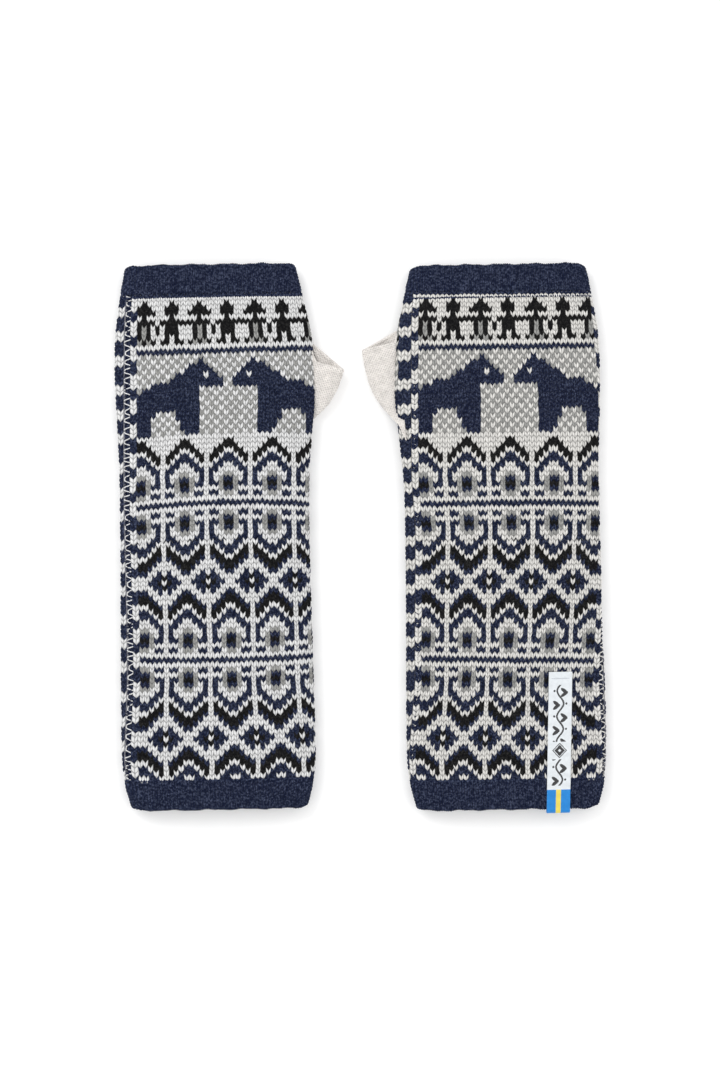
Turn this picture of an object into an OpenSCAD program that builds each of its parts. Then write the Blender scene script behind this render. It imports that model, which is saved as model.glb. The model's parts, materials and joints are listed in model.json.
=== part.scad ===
// A pair of long fingerless mittens, knitted in colourwork, lying flat side by side.
// Each is a front and a back panel, joined by a seam down either side, with a hem at both ends.
// +Y points towards the finger end, +Z up from the table, X across the pair.

/* [Pair] */
// Left mitten's centre line, distance from the origin
left_x = 72.3; // [66:0.1:80]
// Right mitten's centre line, distance from the origin
right_x = 70.5; // [66:0.1:80]
// Turn of each mitten on the table, in degrees
lay_turn = 1.05; // [0:0.05:2]
// How much wider the right mitten is stretched than the left one
right_ease = 1.03; // [1:0.01:1.05]

/* [Hand tube] */
// Length from wrist edge to finger edge
mitten_len = 270; // [240:1:290]
// Flat width at the finger edge
finger_edge_w = 85; // [80:0.5:90]
// Flat width where the finger hem begins
finger_w = 91; // [86:0.5:94]
// Flat width across the palm
palm_w = 99.5; // [95:0.5:103]
// Flat width along the forearm
forearm_w = 94.5; // [90:0.5:98]
// Flat width just above the wrist hem
wrist_w = 96.5; // [92:0.5:100]
// Flat width at the wrist edge
wrist_edge_w = 88; // [84:0.5:92]
// How far the palm leans out towards the thumb
palm_shift = 1.5; // [0:0.1:3]
// Height of the open tube above the table
lie_h = 13.5; // [13:0.1:16]
// Thickness of the stranded fabric
wall = 2.4; // [2:0.1:2.6]

/* [Hems and seams] */
// Depth of the finger hem
finger_hem_len = 15.8; // [12:0.1:20]
// Depth of the wrist hem
wrist_hem_len = 14.4; // [10:0.1:18]
// Width of the linking row between a hem and the tube
link_len = 1.2; // [0.8:0.1:2]
// Part of the section that each side seam takes, in degrees
seam_span = 9; // [7:0.5:12]
// How far the left mitten is rolled, which brings its outer seam on top, in degrees
left_roll = 30; // [20:1:34]
// How far the right mitten is rolled at the palm, the other way round
right_roll = -22; // [-28:1:-15]
// How far the right mitten is rolled at its wrist
right_wrist_roll = 20; // [10:1:25]
// Width of the linking round the thumb slit
slit_link = 1.2; // [0.8:0.1:1.6]

/* [Thumbs] */
// Lower end of the thumb slit, from the middle of the mitten
slit_low = 55; // [52:0.5:60]
// Upper end of the thumb slit, from the middle of the mitten
slit_high = 97; // [94:0.5:100]
// Half the thickness of the thumb tube
thumb_r = 3.6; // [3.5:0.05:3.8]
// Thickness of the thumb's finer fabric
thumb_wall = 1.3; // [1.2:0.05:1.35]
// Room between the slit and the thumb's base
slit_gap = 0.4; // [0.35:0.05:0.5]
// Outer corner of the left thumb's mouth, measured from the fold line and the middle
left_tip = [15.4, 81]; // [60:1:100]
// Outer corner of the right thumb's mouth, measured the same way
right_tip = [16.6, 93]; // [60:1:100]
// Inner end of the left thumb's mouth
left_inner = [1.8, 94]; // [60:1:105]
// Inner end of the right thumb's mouth
right_inner = [1.8, 101]; // [60:1:105]
// Depth of the hem at the thumb's mouth
thumb_hem_len = 2.2; // [1.5:0.1:3]

/* [Label] */
// Width of the woven label
label_w = 11.6; // [10:0.1:14]
// Length of the label on the outside
label_len = 68; // [50:1:75]
// Length of the label folded inside
label_fold = 8; // [6:0.5:12]
// Thickness of the label
label_t = 0.5; // [0.4:0.05:0.7]
// Distance of the label from the centre line, at its lower end
label_x = 24.6; // [20:0.1:28]
// Lean of the label, in degrees
label_lean = 1.9; // [0:0.1:3]
// Width of the stitched row that holds the label's end
tack_w = 9; // [7:0.5:10]

/* [Hidden] */

navy = [0.10, 0.12, 0.24];
wool = [0.86, 0.84, 0.80];
cream = [0.93, 0.90, 0.86];
satin = [0.80, 0.84, 0.88];
thread = [0.25, 0.25, 0.28];

half_len = mitten_len / 2;
mid_z = 6.2;             // height of the fold line
floor_press = 1.05;      // the underside is pressed flat by this much
edge_drop = 1.4;         // the tube's mouths lie this much lower than its middle
square_x = 3;            // section exponents: how square the flattened tube is
square_z = 2.2;
ring_n = 40;             // points round the tube
thumb_n = 28;            // points round the thumb
body_top = half_len - finger_hem_len - link_len;
body_low = -half_len + wrist_hem_len + link_len;

// Flat widths along the tube, from the wrist edge to the finger edge
stations = [[-half_len, wrist_edge_w], [-121, wrist_w - 2.5], [-105, wrist_w], [-20, forearm_w],
            [30, forearm_w], [75, palm_w], [100, palm_w - 2], [half_len - 16.5, finger_w],
            [half_len, finger_edge_w]];

function station_at(y, i = 0) =
    i >= len(stations) - 2 || y <= stations[i + 1][0] ? i : station_at(y, i + 1);
function slope_at(i) =
    let (a = stations[max(i - 1, 0)], b = stations[min(i + 1, len(stations) - 1)])
    (b[1] - a[1]) / (b[0] - a[0]);
// Cubic curve through the stations
function flat_w(y) =
    let (i = station_at(y), a = stations[i], b = stations[i + 1], h = b[0] - a[0],
         t = (y - a[0]) / h, t2 = t * t, t3 = t2 * t)
    a[1] * (2 * t3 - 3 * t2 + 1) + b[1] * (3 * t2 - 2 * t3)
    + h * (slope_at(i) * (t3 - 2 * t2 + t) + slope_at(i + 1) * (t3 - t2));
function shift_at(y) = palm_shift * exp(-pow((y - 75) / 38, 2));
function top_h(y) = lie_h - mid_z - edge_drop * pow(abs(y) / half_len, 4);
function bend(v, e) = sign(v) * pow(abs(v), e);

// A point on the tube's skin: a is the angle round the section, inset goes into the fabric
function skin(a, y, inset, ease) =
    let (c = bend(cos(a), 2 / square_x), s = bend(sin(a), 2 / square_z),
         h = s > 0 ? top_h(y) - inset : mid_z * floor_press - inset)
    [shift_at(y) + c * (flat_w(y) * ease / 2 - inset), y, max(mid_z + s * h, inset)];
// Height of the upper skin above a place on the table
function roof(x, y, inset, ease) =
    let (u = min(abs(x - shift_at(y)) / (flat_w(y) * ease / 2 - inset), 1))
    mid_z + (top_h(y) - inset) * pow(1 - pow(u, square_x), 1 / square_z);

// Closed shell through rings of outer and inner points
module shell(outer, inner) {
    m = len(outer);
    n = len(outer[0]);
    points = concat([for (r = outer) each r], [for (r = inner) each r]);
    far = m * n;
    walls = [for (k = [0:m - 2], i = [0:n - 1]) let (j = (i + 1) % n)
        each [[k * n + i, k * n + j, (k + 1) * n + i], [k * n + j, (k + 1) * n + j, (k + 1) * n + i],
              [far + k * n + i, far + (k + 1) * n + i, far + k * n + j],
              [far + k * n + j, far + (k + 1) * n + i, far + (k + 1) * n + j]]];
    ends = [for (i = [0:n - 1]) let (j = (i + 1) % n, e = (m - 1) * n)
        each [[i, far + i, j], [j, far + i, far + j],
              [e + i, e + j, far + e + i], [e + j, far + e + j, far + e + i]]];
    polyhedron(points, concat(walls, ends), convexity = 8);
}

// Piece of the knitted tube between two heights on the mitten
module tube(y0, y1, steps, ease, thick = wall) {
    rows = [for (k = [0:steps]) y0 + (y1 - y0) * k / steps];
    shell([for (y = rows) [for (i = [0:ring_n - 1]) skin(360 * i / ring_n, y, 0, ease)]],
          [for (y = rows) [for (i = [0:ring_n - 1]) skin(360 * i / ring_n, y, thick, ease)]]);
}

// Straight line that the thumb folds about
function fold_x(ease) = palm_w * ease / 2 + palm_shift - 1;

module slit(r, grow, ease) {
    translate([fold_x(ease), slit_high + grow, mid_z])
        rotate([90, 0, 0]) cylinder(r = r, h = slit_high - slit_low + 2 * grow, $fn = 40);
}

// Closed strip through rings that each go once round its section
module closed_strip(rings) {
    m = len(rings);
    e = len(rings[0]);
    n = e / 2;
    // the two rims are cut along the same diagonal, so that neighbouring strips meet exactly
    sides = [for (k = [0:m - 2], i = [0:e - 1])
        let (j = (i + 1) % e, a = k * e + i, b = k * e + j, c = a + e, d = b + e)
        each i == e - 1 ? [[a, b, d], [a, d, c]] : [[a, b, c], [b, d, c]]];
    caps = [for (i = [0:n - 2]) let (f = (m - 1) * e, o = e - 1 - i)
        each [[i, o, i + 1], [o, o - 1, i + 1],
              [f + i, f + i + 1, f + o], [f + o, f + i + 1, f + o - 1]]];
    polyhedron([for (r = rings) each r], concat(sides, caps), convexity = 6);
}

// How far round the mitten is rolled: even from finger edge to middle, then turning to the wrist
function roll_at(y, turn) =
    let (t = min(max(-y / half_len, 0), 1)) turn[0] + (turn[1] - turn[0]) * t * t * (3 - 2 * t);
// Part of the tube's section between two angles, which are counted from the inner seam
module patch(y0, y1, steps, a0, a1, n, ease, turn) {
    rows = [for (k = [0:steps]) y0 + (y1 - y0) * k / steps];
    closed_strip([for (y = rows) concat(
        [for (i = [0:n - 1]) skin(a0 + (a1 - a0) * i / (n - 1) - roll_at(y, turn), y, 0, ease)],
        [for (i = [n - 1:-1:0]) skin(a0 + (a1 - a0) * i / (n - 1) - roll_at(y, turn), y, wall, ease)])]);
}

module front_panel(ease, turn) {
    color(wool) difference() {
        patch(body_low, body_top, 15, seam_span / 2, 180 - seam_span / 2, 21, ease, turn);
        slit(thumb_r + slit_gap + slit_link, slit_link, ease);
    }
}
module back_panel(ease, turn) {
    color(wool) difference() {
        patch(body_low, body_top, 15, 180 + seam_span / 2, 360 - seam_span / 2, 21, ease, turn);
        slit(thumb_r + slit_gap + slit_link, slit_link, ease);
    }
}
module seam(at, ease, turn) {
    patch(body_low, body_top, 15, at - seam_span / 2, at + seam_span / 2, 3, ease, turn);
}
// The stretch of the mitten between two heights
module stretch(y0, y1) { translate([-80, y0, -1]) cube([160, y1 - y0, lie_h + 2]); }
module outer_seam(ease, turn) { color(navy) seam(180, ease, turn); }
module inner_seam_low(ease, turn) {
    color(navy) intersection() {
        seam(0, ease, turn);
        stretch(-half_len, slit_low - slit_link);
    }
}
module inner_seam_high(ease, turn) {
    color(navy) intersection() {
        seam(0, ease, turn);
        stretch(slit_high + slit_link, half_len);
    }
}
module thumb_linking(ease) {
    color(navy) difference() {
        intersection() {
            tube(body_low, body_top, 15, ease);
            slit(thumb_r + slit_gap + slit_link, slit_link, ease);
        }
        slit(thumb_r + slit_gap, 0, ease);
    }
}
module finger_hem(ease) { color(navy) tube(half_len - finger_hem_len, half_len, 3, ease); }
module wrist_hem(ease) { color(navy) tube(-half_len, -half_len + wrist_hem_len, 3, ease); }
module finger_linking(ease) {
    color(navy) tube(body_top, half_len - finger_hem_len, 1, ease);
}
module wrist_linking(ease) {
    color(navy) tube(-half_len + wrist_hem_len, body_low, 1, ease);
}

// The thumb fans out from the slit: t runs from the slit to the mouth
function thumb_end(t, inner, ease) =
    let (root = [0, slit_high - slit_gap]) root + (inner - root) * t + [fold_x(ease), 0];
function thumb_edge(t, tip, ease) =
    let (root = [0, slit_low + slit_gap]) root + (tip - root) * t
    + 1.6 * sin(180 * t) * [0.9, -0.45] + [fold_x(ease), 0];
function thumb_ring(t, tip, inner, inset, ease) =
    let (a = thumb_end(t, inner, ease), b = thumb_edge(t, tip, ease), mid = (a + b) / 2,
         along = (b - a) / norm(b - a), half = norm(b - a) / 2 - inset)
    [for (i = [0:thumb_n - 1]) let (g = 360 * i / thumb_n,
         s = bend(cos(g), 2 / square_x) * half, z = bend(sin(g), 2 / square_z) * (thumb_r - inset))
         [mid[0] + along[0] * s, mid[1] + along[1] * s, mid_z + z]];
module thumb_part(t0, t1, steps, tip, inner, ease) {
    ts = [for (k = [0:steps]) t0 + (t1 - t0) * k / steps];
    mirror([0, 0, 1]) translate([0, 0, -2 * mid_z])
        shell([for (t = ts) thumb_ring(t, tip, inner, 0, ease)],
              [for (t = ts) thumb_ring(t, tip, inner, thumb_wall, ease)]);
}
function hem_start(tip) = 1 - thumb_hem_len / norm(tip - [0, slit_low]);
module thumb_tube(tip, inner, ease) {
    color(cream) thumb_part(0, hem_start(tip), 7, tip, inner, ease);
}
module thumb_hem(tip, inner, ease) {
    color(cream) thumb_part(hem_start(tip), 1, 1, tip, inner, ease);
}

module on_left() { translate([-left_x, 0, 0]) rotate(lay_turn) children(); }
module on_right() {
    translate([right_x, 0, 0]) rotate(lay_turn) mirror([1, 0, 0]) children();
}

left_turn = [left_roll, left_roll];
right_turn = [right_roll, right_wrist_roll];
module left_front_panel() { on_left() front_panel(1, left_turn); }
module left_back_panel() { on_left() back_panel(1, left_turn); }
module left_outer_seam() { on_left() outer_seam(1, left_turn); }
module left_inner_seam_low() { on_left() inner_seam_low(1, left_turn); }
module left_inner_seam_high() { on_left() inner_seam_high(1, left_turn); }
module left_finger_hem() { on_left() finger_hem(1); }
module left_wrist_hem() { on_left() wrist_hem(1); }
module left_finger_linking() { on_left() finger_linking(1); }
module left_wrist_linking() { on_left() wrist_linking(1); }
module left_thumb_linking() { on_left() thumb_linking(1); }
module left_thumb_tube() { on_left() thumb_tube(left_tip, left_inner, 1); }
module left_thumb_hem() { on_left() thumb_hem(left_tip, left_inner, 1); }

module right_front_panel() { on_right() front_panel(right_ease, right_turn); }
module right_back_panel() { on_right() back_panel(right_ease, right_turn); }
module right_outer_seam() { on_right() outer_seam(right_ease, right_turn); }
module right_inner_seam_low() { on_right() inner_seam_low(right_ease, right_turn); }
module right_inner_seam_high() { on_right() inner_seam_high(right_ease, right_turn); }
module right_finger_hem() { on_right() finger_hem(right_ease); }
module right_wrist_hem() { on_right() wrist_hem(right_ease); }
module right_finger_linking() { on_right() finger_linking(right_ease); }
module right_wrist_linking() { on_right() wrist_linking(right_ease); }
module right_thumb_linking() { on_right() thumb_linking(right_ease); }
module right_thumb_tube() { on_right() thumb_tube(right_tip, right_inner, right_ease); }
module right_thumb_hem() { on_right() thumb_hem(right_tip, right_inner, right_ease); }

// A strip lying on the upper skin: its path goes down the mitten, round the wrist edge and back
// inside. Each step holds a height on the mitten, a side (0 outside, 1 inside) and the way it faces.
label_lift = 0.2;
function strip_point(step, across, out) =
    let (y = step[0], x = -label_x + (y + half_len) * tan(-label_lean) + across,
         z = roof(x, max(y, -half_len), step[1] * wall, right_ease) - step[1] * label_lift * 2
             + (1 - step[1]) * label_lift)
    [x, y + out * step[2], z + out * step[3]];
module strip(path, w, low, high) {
    n = 5;
    m = len(path);
    outer = [for (s = path) [for (i = [0:n - 1]) strip_point(s, w * (i / (n - 1) - 0.5), high)]];
    inner = [for (s = path) [for (i = [0:n - 1]) strip_point(s, w * (i / (n - 1) - 0.5), low)]];
    closed_strip([for (k = [0:m - 1]) concat(outer[k], [for (i = [n - 1:-1:0]) inner[k][i]])]);
}
edge_y = -half_len - label_lift;
label_path = concat(
    [for (k = [0:10]) [-half_len + label_len - (label_len - 0.4) * k / 10, 0, 0, 1]],
    [[edge_y, 0, -1, 0.6], [edge_y, 1, -1, -0.6]],
    [for (k = [0:2]) [-half_len + 0.4 + label_fold * k / 2, 1, 0, -1]]);
module woven_label() {
    color(satin) on_right() strip(label_path, label_w, 0, label_t);
}
module label_stitches() {
    tack = [for (k = [0:1]) [-half_len + label_len - 3 - k * 0.7, 0, 0, 1]];
    color(thread) on_right() strip(tack, tack_w, label_t, label_t + 0.4);
}

left_front_panel();
left_back_panel();
left_outer_seam();
left_inner_seam_low();
left_inner_seam_high();
left_finger_hem();
left_wrist_hem();
left_finger_linking();
left_wrist_linking();
left_thumb_linking();
left_thumb_tube();
left_thumb_hem();
right_front_panel();
right_back_panel();
right_outer_seam();
right_inner_seam_low();
right_inner_seam_high();
right_finger_hem();
right_wrist_hem();
right_finger_linking();
right_wrist_linking();
right_thumb_linking();
right_thumb_tube();
right_thumb_hem();
woven_label();
label_stitches();
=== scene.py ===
import json
import math

import bpy
import numpy as np
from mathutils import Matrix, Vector


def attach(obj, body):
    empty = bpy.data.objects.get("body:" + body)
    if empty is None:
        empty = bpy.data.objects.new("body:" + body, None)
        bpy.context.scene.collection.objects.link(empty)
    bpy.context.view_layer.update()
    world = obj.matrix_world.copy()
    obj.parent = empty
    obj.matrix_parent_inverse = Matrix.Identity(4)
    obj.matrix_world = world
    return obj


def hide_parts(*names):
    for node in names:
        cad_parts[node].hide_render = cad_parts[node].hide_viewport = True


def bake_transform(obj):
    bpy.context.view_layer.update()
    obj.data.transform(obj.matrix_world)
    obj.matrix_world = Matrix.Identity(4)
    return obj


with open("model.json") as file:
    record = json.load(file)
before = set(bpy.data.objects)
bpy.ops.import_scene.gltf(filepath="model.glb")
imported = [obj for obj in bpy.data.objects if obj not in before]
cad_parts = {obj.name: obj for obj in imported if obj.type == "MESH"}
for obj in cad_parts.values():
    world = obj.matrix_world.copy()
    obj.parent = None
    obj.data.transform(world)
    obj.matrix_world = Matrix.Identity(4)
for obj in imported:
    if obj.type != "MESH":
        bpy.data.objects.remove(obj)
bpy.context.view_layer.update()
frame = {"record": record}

mm = 0.001

view = dict(centre=(-0.0003, -0.0015), fieldHeight=0.5346, lens=85, sensor=36, focusHeight=0.008)
camera = bpy.data.objects.new("camera", bpy.data.cameras.new("camera"))
bpy.context.scene.collection.objects.link(camera)
camera.data.lens = view["lens"]
camera.data.sensor_width = view["sensor"]
camera.location = (*view["centre"],
                   view["focusHeight"] + view["fieldHeight"] * view["lens"] / view["sensor"])
bpy.context.scene.camera = camera

tube = dict(halfLength=135, lieHeight=13.5, foldHeight=6.2, floorPress=1.05, edgeDrop=1.4,
            squareX=3, squareZ=2.2, wall=2.4, palmShift=1.5, palmAt=75, palmSpread=38)
knit = dict(columns=84, edgeWide=1.5, ladderWide=0.7)
widths = np.array([(-135, 88), (-121, 94), (-105, 96.5), (-20, 94.5), (30, 94.5), (75, 99.5),
                   (100, 97.5), (118.5, 91), (135, 85)], float)    # flat width along the tube
hems = dict(finger=15.8, wrist=14.4, linking=1.2)
bodyTop = tube["halfLength"] - hems["finger"] - hems["linking"]
bodyLow = -tube["halfLength"] + hems["wrist"] + hems["linking"]
slit = dict(low=55, high=97, middle=76)
foldInset = 1.0                                     # the thumb folds this far inside the edge
sides = {
    "left": dict(sign=1, ease=1.0, tip=(15.4, 81), inner=(-1.8, 96), bulge=2.0, dip=9.5,
                 root=(-2.0, 3.8), crossing=3.8,
                 pattern=[(-135, 8.4, 2.5), (-109, 8.35, 2.57), (-72, 7.75, 2.43), (-47, 7.8, 2.415),
                          (4, 7.3, 2.424), (30, 7.7, 2.43), (68, 8.6, 2.42), (107, 7.4, 2.32),
                          (135, 7.0, 2.2)],
                 rowsLie=[(-135, 0, 0, 0), (-119, 1, 0.5, 0), (-61, 2, 0.7, 1.5), (16, -0.5, 1.9, -1),
                          (93, 0.7, 0, -0.5), (118, 1, 1, 1), (135, 0, 0, 0)]),
    "right": dict(sign=-1, ease=1.03, tip=(16.6, 93), inner=(-1.6, 103), bulge=3.6, dip=5.5,
                  root=(-1.5, 4.8), crossing=10.3,
                  pattern=[(-135, 0.7, 2.3), (-109, 0.75, 2.4), (-72, -0.6, 2.264), (-47, -1.8, 2.303),
                           (4, -4.1, 2.352), (30, -4.0, 2.42), (68, -4.25, 2.4), (107, -3.25, 2.31),
                           (135, -3, 2.2)],
                  rowsLie=[(-135, 0, 0, 0), (-119, 1, 0.5, 0), (-61, 2, 0.8, -0.5), (16, 1.5, 1.5, 0.5),
                           (93, 2.5, 2, 2.2), (118, 3, 2.2, 2), (135, 0, 0, 0)]),
}


def power(v, e):
    return np.sign(v) * np.abs(v) ** e


def flatWidth(y):
    # cubic curve through the widths, with each slope taken from the two neighbours
    xs, ws = widths.T
    slopes = np.gradient(ws, xs, edge_order=1)
    slopes[1:-1] = (ws[2:] - ws[:-2]) / (xs[2:] - xs[:-2])
    y = np.clip(y, xs[0], xs[-1])
    i = np.clip(np.searchsorted(xs, y, side="right") - 1, 0, len(xs) - 2)
    h = xs[i + 1] - xs[i]
    t = (y - xs[i]) / h
    return (ws[i] * (2 * t**3 - 3 * t**2 + 1) + ws[i + 1] * (3 * t**2 - 2 * t**3)
            + h * (slopes[i] * (t**3 - 2 * t**2 + t) + slopes[i + 1] * (t**3 - t**2)))


def skin(side, angle, y, inset):
    # flattened superellipse: x = w * cos^(2/3), z = h * sin^(1/1.1), pressed flat on the table
    c, s = power(np.cos(angle), 2 / tube["squareX"]), power(np.sin(angle), 2 / tube["squareZ"])
    yy = np.clip(y, -tube["halfLength"], tube["halfLength"])
    drop = tube["edgeDrop"] * np.abs(yy / tube["halfLength"]) ** 4
    up = tube["lieHeight"] - tube["foldHeight"] - drop - inset
    down = tube["foldHeight"] * tube["floorPress"] - inset
    shift = tube["palmShift"] * np.exp(-((yy - tube["palmAt"]) / tube["palmSpread"]) ** 2)
    x = shift + c * (flatWidth(yy) * side["ease"] / 2 - inset)
    z = np.maximum(tube["foldHeight"] + s * np.where(s > 0, up, down), inset)
    return x, z


def acrossAt(side, y):
    # where the pattern's middle lies, and how wide its columns are, at a height on the mitten
    ys, middle, wide = np.array(side["pattern"]).T
    return np.interp(y, ys, middle), np.interp(y, ys, wide)


def arcOfColumns(q, middle, wide, around):
    # pattern columns are even, the edge columns wider, the ladders narrow, and the back has the rest
    edge, gap = knit["edgeWide"], knit["ladderWide"]
    half = 19 + edge + gap
    rest = (around / wide - 2 * half - 2 * 2 * edge) / 38
    stops = np.array([0.5, 1.5, 39.5, 40.5, 41.5, 43.5, 81.5, 83.5, 84.5])
    place = np.cumsum([0, edge, 38, edge, gap * 2, 2 * edge, 38 * rest, 2 * edge, gap * 2])
    place = (place - edge - 19) * wide + middle
    turns = np.floor((q - 0.5) / knit["columns"])
    return np.interp(q - turns * knit["columns"], stops, place) + turns * around


def columnTable(side):
    # angle round the section at each quarter column
    ys = np.linspace(-tube["halfLength"], tube["halfLength"], 181)
    qs = np.arange(-8, knit["columns"] + 8.01, 0.25)
    turn = np.linspace(-0.5, 1.75, 3241) * 2 * math.pi
    table = np.empty((len(ys), len(qs)))
    for i, y in enumerate(ys):
        x, z = skin(side, turn, y, 0.0)
        arc = np.concatenate([[0], np.cumsum(np.hypot(np.diff(x), np.diff(z)))])
        around = np.interp(2 * math.pi, turn, arc) - np.interp(0, turn, arc)
        middle, wide = acrossAt(side, y)
        top = (turn > 0) & (turn < math.pi)
        at = np.interp(-middle, -x[top], arc[top])
        table[i] = np.interp(arcOfColumns(qs, at, wide, around), arc, turn)
    return ys, qs, table


def settle(side, q, y):
    # the rows don't lie quite level: how far they sit up the mitten at the inner edge, middle and outer edge
    ys, inner, middle, outer = np.array(side["rowsLie"]).T
    a, m, b = (np.interp(y, ys, v) for v in (inner, middle, outer))
    q = np.mod(q - 0.5, knit["columns"])
    u = np.clip(q / 40, 0, 1)
    front = a * (1 - u) * (1 - 2 * u) + 4 * m * u * (1 - u) + b * u * (2 * u - 1)
    v = np.clip((q - 41) / 42, 0, 1)
    return np.where(q <= 40, front, b + (a - b) * v)


def sample(side, q, y):
    ys, qs, table = side["table"]
    fy = np.clip((y - ys[0]) / (ys[1] - ys[0]), 0, len(ys) - 1.001)
    fq = np.clip((q - qs[0]) / (qs[1] - qs[0]), 0, len(qs) - 1.001)
    iy, iq = fy.astype(int), fq.astype(int)
    a, b = fy - iy, fq - iq
    return ((1 - a) * ((1 - b) * table[iy, iq] + b * table[iy, iq + 1])
            + a * ((1 - b) * table[iy + 1, iq] + b * table[iy + 1, iq + 1]))


def toWorld(side, x, y, z):
    # mirrors a right mitten, turns it as it lies, and moves it to its place in metres
    x = x * side["sign"]
    cos, sin = math.cos(side["turn"]), math.sin(side["turn"])
    return np.stack([side["x"] + (x * cos - y * sin) * mm, side["y"] + (x * sin + y * cos) * mm,
                     z * mm + 0 * x], -1)


for name, side in sides.items():
    joint = next(j for j in frame["record"]["behaviour"]["joints"] if j["name"] == name + "_thumb_fold")
    side["turn"] = math.atan2(side["sign"] * joint["axis"][0], -side["sign"] * joint["axis"][1])
    side["foldX"] = 99.5 * side["ease"] / 2 + tube["palmShift"] - foldInset
    side["x"] = side["y"] = 0.0
    x, y, _ = toWorld(side, side["foldX"], slit["middle"], 0.0)
    side["x"], side["y"] = joint["pos_m"][0] - x, joint["pos_m"][1] - y
    side["table"] = columnTable(side)
    side["name"] = name
print("tube shapes worked out")

yarns = "NKGW"                                      # navy, black, grey, white
figures = """WWWWWWWWWWWW WWKWWWWWKWWW WKKKWWWKKKWW KKKKKWWKKKWW WWKWWWWWKWWW KKKKKWKKKKKK
             WKGKWKWKKKWW WKGKWKWKKKWW WKGKWWWKWKWW KGKGKWKKWKKW WWWWWWWWWWWW NNNNNNNNNNNN""".split()
# a horse's stitches in each row, counted from its nose
horse = [[], [(4, 4)], [(3, 6)], [(2, 7)], [(1, 9)], [(0, 10)], [(0, 14)], [(5, 16)], [(5, 17)],
         [(5, 17)], [(5, 17)], [(5, 17)], [(5, 9), (14, 17)], [(5, 9), (15, 17)], [(5, 8), (15, 17)],
         [(5, 8), (15, 17)], [(5, 7), (15, 17)], []]
horseEye = (4, 3)
noseLeft, noseRight = 17, 20
# half a medallion: from the navy line down to its middle, from the white rib to its centre
medallion = """NNNNN WWWWW WNNWG WWWGN WNNGK WNWGN WNWWG WNNWW WWNNW
               WKWNN WKKWN WNKKW WWNKK WWWNK WNWWN KNNWW WKNNW""".split()
topRows = {13: "WWWWK", 12: "WWWKK", 11: "WWKKW"}   # the first peaks have no navy round them
panelWidth = 38
firstRib, ribStep = 5, 9
womanStart = 1


def panelChart():
    rows = ["".join(f[(j + womanStart) % 12] for j in range(panelWidth)) for f in figures]
    for i, spans in enumerate(horse):
        row = ["WG"[(i + j) % 2] for j in range(panelWidth)]
        for a, b in spans:
            for n in range(a, b + 1):
                row[noseLeft - n] = row[noseRight + n] = "N"
        if i == horseEye[0]:
            row[noseLeft - horseEye[1]] = row[noseRight + horseEye[1]] = "W"
        rows.append("".join(row))
    rows[-1] = "W" * panelWidth
    steps = list(range(13, 0, -1)) + list(range(17)) + list(range(15, -1, -1)) + list(range(1, 17))
    steps += list(range(15, 7, -1))
    for i, step in enumerate(steps):
        half = topRows.get(step, medallion[step]) if i < 3 else medallion[step]
        rows.append("".join(half[min((j - firstRib) % 9, -(j - firstRib) % 9)]
                            for j in range(panelWidth)))
    return rows


frontSelvedge = "WWWNNWWWNNWWWNNN"
backSelvedge = "NNWWNNNWWNNNWWNN"


def withSelvedges(rows, edge, times):
    return [edge[i % 16] * times + r + edge[i % 16] * times for i, r in enumerate(rows)]


chart = panelChart()
frontChart = withSelvedges(chart, frontSelvedge, 1)
backChart = withSelvedges(chart, backSelvedge, 2)
print("charts:", len(chart), "rows of", len(frontChart[0]), "and", len(backChart[0]), "stitches")

# rows run from the finger end down; one more row at each end lies under the linking
rows = dict(first=1.4, figures=2.28, others=89)
figureEnd = rows["first"] + 10 * rows["figures"]
rowEdge = bodyTop - np.concatenate([
    [-2.2, 0], rows["first"] + np.arange(10) * rows["figures"],
    figureEnd + np.arange(91) * (bodyTop - bodyLow - figureEnd) / rows["others"]])


def panelPlace(side):
    # column q counts from the inner seam, row r from the finger end; inset goes into the fabric
    def place(q, r, inset):
        y = np.interp(r, np.arange(-1, len(rowEdge) - 1), rowEdge)
        y = y + settle(side, q, y)
        x, z = skin(side, sample(side, q, y), y, inset)
        return toWorld(side, x, y, z)
    return place


hemShape = dict(corner=1.8, wander=0.24)


def hemPlace(side, start, end, columns):
    # down the outside, round the folded edge in a half circle, and back up the inside
    length, depth = abs(end - start), tube["wall"]
    way = 1 if end > start else -1
    arc = math.pi * depth / 2

    def place(q, s, inset):
        turn = np.clip((s - length) / arc, 0, 1) * math.pi
        out = np.minimum(s, length) - np.maximum(s - length - arc, 0)
        y = start + way * (out + (depth / 2 - inset) * np.sin(turn))
        deep = depth / 2 - (depth / 2 - inset) * np.cos(turn)
        yRead = np.clip(y, -tube["halfLength"], tube["halfLength"])
        qBody = q * knit["columns"] / columns
        lift = settle(side, qBody, yRead)
        yRead, y = np.clip(yRead + lift, -tube["halfLength"], tube["halfLength"]), y + lift
        x, z = skin(side, sample(side, qBody, yRead), yRead, deep)
        # the folded edge drops away at the two corners and wanders a little
        corner = np.clip((np.abs(x) / (flatWidth(yRead) * side["ease"] / 2) - 0.86) / 0.14, 0, 1)
        reach = np.clip(out / length, 0, 1) ** 2
        wander = np.sin(q * 0.83 + way) + np.sin(q * 1.9 + 2) * 0.6
        y = y - way * reach * (hemShape["corner"] * corner**2 + hemShape["wander"] * wander)
        return toWorld(side, x, y, z)
    return place, 2 * length + arc


thumb = dict(r=3.3, wall=1.3, rootR=1.1, hem=2.4, fineStitch=1.6, fineRow=1.45, depth=0.34,
             around=300, along=110, hemAlong=20, hemThick=1.6, hemGap=0.012, rootStart=-0.2,
             total=2.06)


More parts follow.
